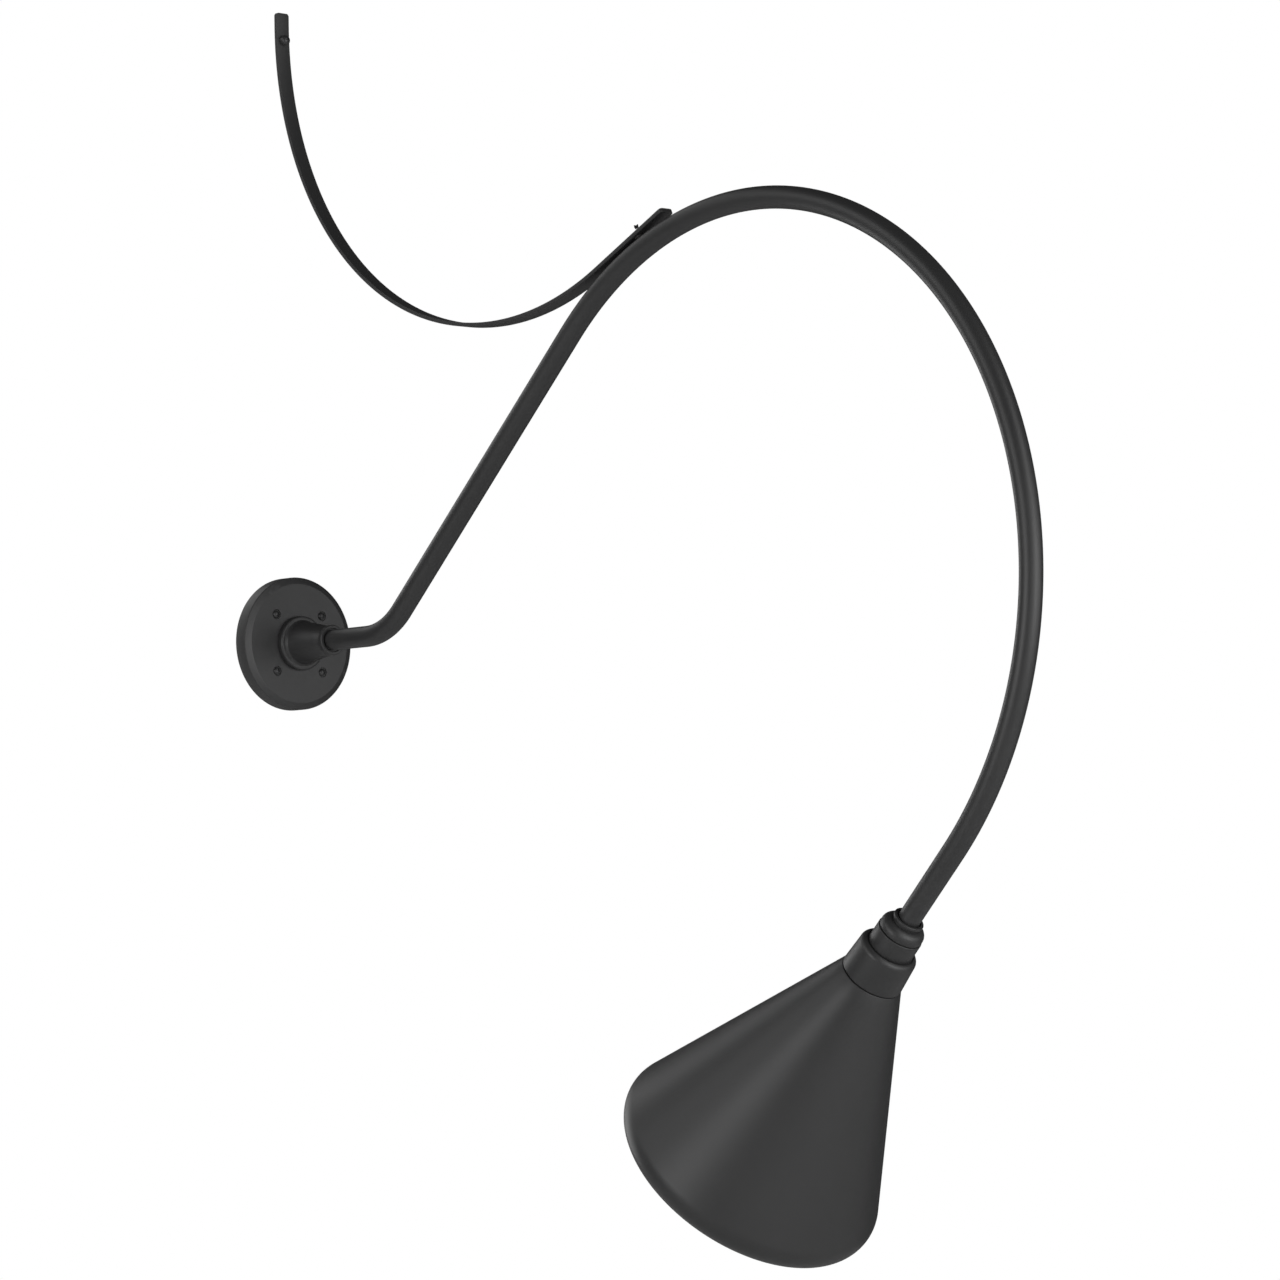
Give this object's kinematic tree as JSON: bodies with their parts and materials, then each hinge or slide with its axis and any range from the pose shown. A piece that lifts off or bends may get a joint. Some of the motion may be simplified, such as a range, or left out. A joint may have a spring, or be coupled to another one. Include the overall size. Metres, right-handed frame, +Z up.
{
  "type": "gooseneck wall sconce",
  "caption": "Wall sconce with a round back plate, a bent pipe arm stayed to the wall by a curved flat strap, and a cone shade on a swivel neck.",
  "frame": {"origin": "centre of the back plate, on the wall", "axes": "+X out of the wall, +Z up, the arm and strap lie in the Y = 0 plane"},
  "size_m": [1.0707, 0.2526, 1.2461],
  "materials": {
    "black_coat": "satin black powder coat",
    "black_steel": "black oxide, satin",
    "green_steel": "green coated grounding screw",
    "zinc": "bright zinc plate",
    "white_coat": "gloss white coat",
    "gasket_foam": "closed-cell foam",
    "seal_rubber": "matte",
    "lead_black": "wire insulation",
    "lead_white": "wire insulation",
    "splice_shell": "gloss orange",
    "porcelain": "glazed",
    "brass": "bright",
    "nickel": "bright",
    "lamp_insulator": "gloss",
    "lamp_plastic": "gloss",
    "opal_plastic": "opal, satin"
  },
  "bodies": {
    "wall_frame": {"wall_gasket": "gasket_foam", "back_plate": "black_coat", "plate_screws": "black_steel", "ground_screw": "green_steel", "hub": "black_coat", "hub_locknut": "zinc", "hub_set_screw": "black_steel", "arm_pipe": "black_coat", "lead_black": "lead_black", "lead_white": "lead_white", "splices": "splice_shell", "strap": "black_coat", "strap_wall_screw": "black_steel", "strap_arm_screw": "black_steel", "strap_rivet_nut": "black_steel", "neck_bell": "black_coat", "neck_set_screw": "black_steel", "swivel_seal": "seal_rubber", "swivel_washer": "zinc", "swivel_nut": "zinc"},
    "shade_unit": {"coupling": "black_coat", "shade_cap": "black_coat", "shade_gasket": "seal_rubber", "shade": "black_coat", "shade_retainer": "white_coat", "retainer_screws": "zinc", "socket_bracket": "zinc", "bracket_screws": "zinc", "holder_screws": "zinc", "lamp_holder": "porcelain", "holder_shell": "brass", "holder_contact": "brass", "terminal_screws": "brass"},
    "lamp": {"lamp_cap": "nickel", "lamp_insulator": "lamp_insulator", "lamp_contact": "nickel", "lamp_body": "lamp_plastic", "lamp_globe": "opal_plastic"}
  },
  "joints": [
    {"name": "shade_swivel", "type": "hinge", "parent": "wall_frame", "child": "shade_unit", "pos_m": [0.87011, 0, -0.30662], "axis": [-0.7022, 0, -0.712], "range_deg": [-170, 170]},
    {"name": "lamp_out", "type": "slide", "parent": "shade_unit", "child": "lamp", "axis": [-0.7022, 0, -0.712], "range_m": [0, 0.26]}
  ]
}
